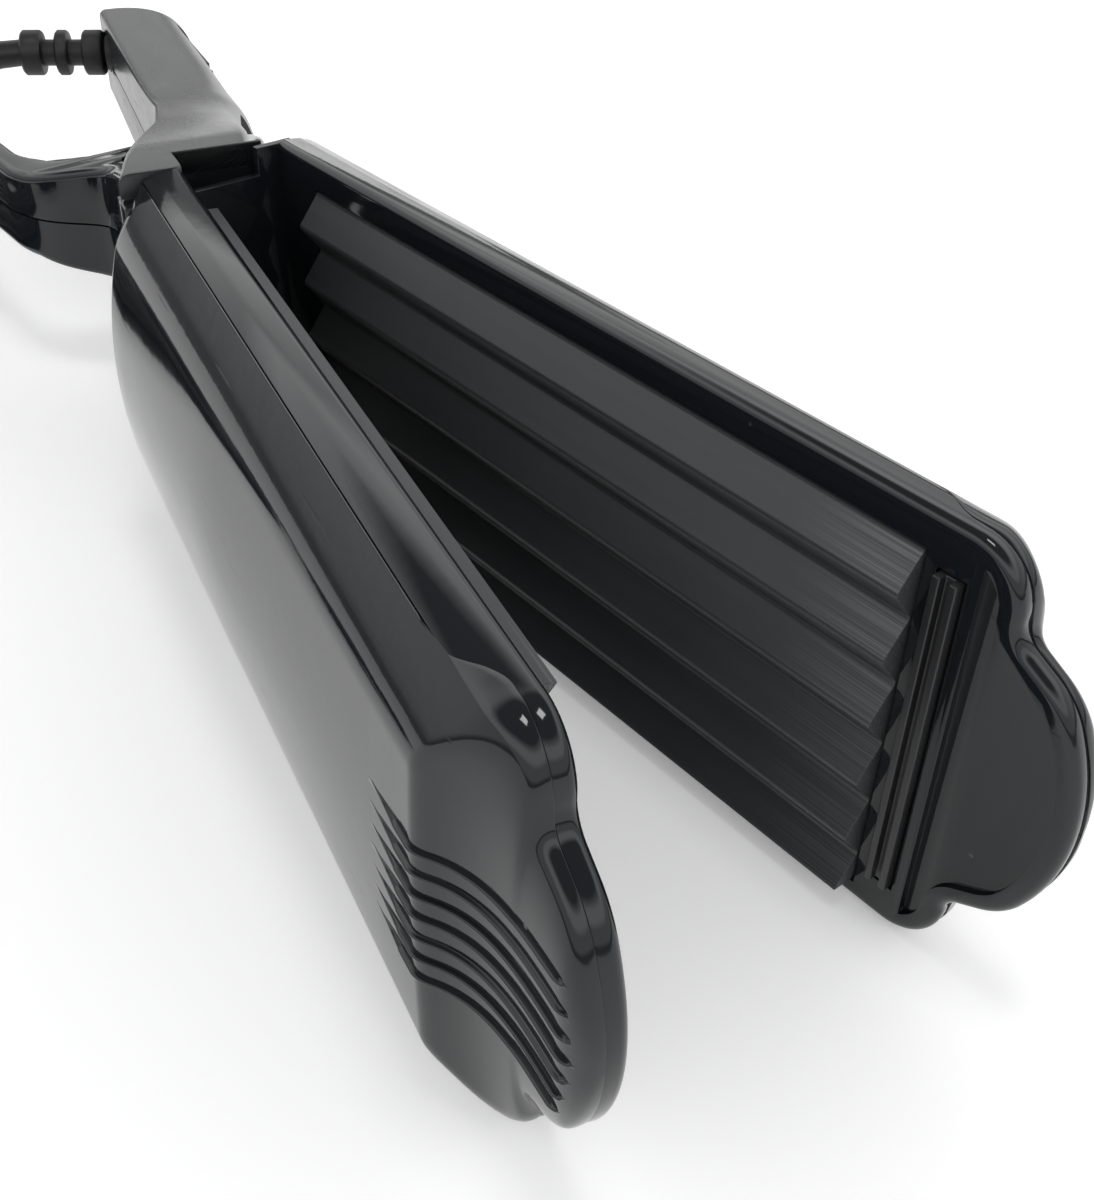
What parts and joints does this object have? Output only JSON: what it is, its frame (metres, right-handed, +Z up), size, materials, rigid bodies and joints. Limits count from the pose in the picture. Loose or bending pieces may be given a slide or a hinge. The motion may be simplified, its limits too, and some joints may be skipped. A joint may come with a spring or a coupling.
{
  "type": "hair crimper",
  "caption": "Pliers-style hair crimper lying on its side, jaws open, with meshing ridged plates, a main handle with rocker switch and cord, and a sprung finger lever.",
  "frame": {"origin": "centre of the lower hinge ear's flat face, which lies on the table", "axes": "+X from the hinge towards the tips, +Y across from the jaw on the main handle towards the jaw on the finger lever, +Z up along the pivot"},
  "size_m": [0.2728, 0.1719, 0.0508],
  "materials": {
    "gloss_black_shell": "polished black plastic",
    "satin_black_part": "satin black plastic",
    "coated_plate": "dark grey coated, brushed along the ridges",
    "steel": "plain steel",
    "ceramic": "heater ceramic",
    "black_rubber": "soft black",
    "lamp_lens": "clear red lens",
    "circuit_board": "green solder mask"
  },
  "bodies": {
    "handle_and_jaw": {"handle_shell_upper": "gloss_black_shell", "handle_shell_lower": "gloss_black_shell", "jaw_shell_a": "gloss_black_shell", "jaw_frame_a": "gloss_black_shell", "crimping_plate_a": "coated_plate", "barrier_strip_a": "satin_black_part", "heating_element_a": "ceramic", "heater_clamp_a": "steel", "pivot_pin": "steel", "opening_spring": "steel", "handle_screw_1": "steel", "handle_screw_2": "steel", "switch_frame": "satin_black_part", "indicator_lens": "lamp_lens", "control_board": "circuit_board", "strain_relief": "black_rubber", "cord": "black_rubber", "cord_coil": "black_rubber", "cord_tail": "black_rubber", "plug_body": "black_rubber", "plug_pin_1": "steel", "plug_pin_2": "steel"},
    "lever_and_jaw": {"lever_shell_upper": "gloss_black_shell", "lever_shell_lower": "gloss_black_shell", "jaw_shell_b": "gloss_black_shell", "jaw_frame_b": "gloss_black_shell", "crimping_plate_b": "coated_plate", "barrier_strip_b": "satin_black_part", "heating_element_b": "ceramic", "heater_clamp_b": "steel", "lever_screw": "steel"},
    "switch_rocker_body": {"switch_rocker": "satin_black_part"}
  },
  "joints": [
    {"name": "jaw_hinge", "type": "hinge", "parent": "handle_and_jaw", "child": "lever_and_jaw", "pos_m": [-0.042, 0.009, 0.0254], "axis": [0, 0, 1], "range_deg": [-14.4, 0], "stiffness_Nm_per_rad": 0.9, "springref_deg": 20.05, "deforming": ["opening_spring"]},
    {"name": "switch_rocker_hinge", "type": "hinge", "parent": "handle_and_jaw", "child": "switch_rocker_body", "pos_m": [-0.106, 0.02629, 0.0254], "axis": [0, 0, 1], "range_deg": [-14, 0]}
  ]
}
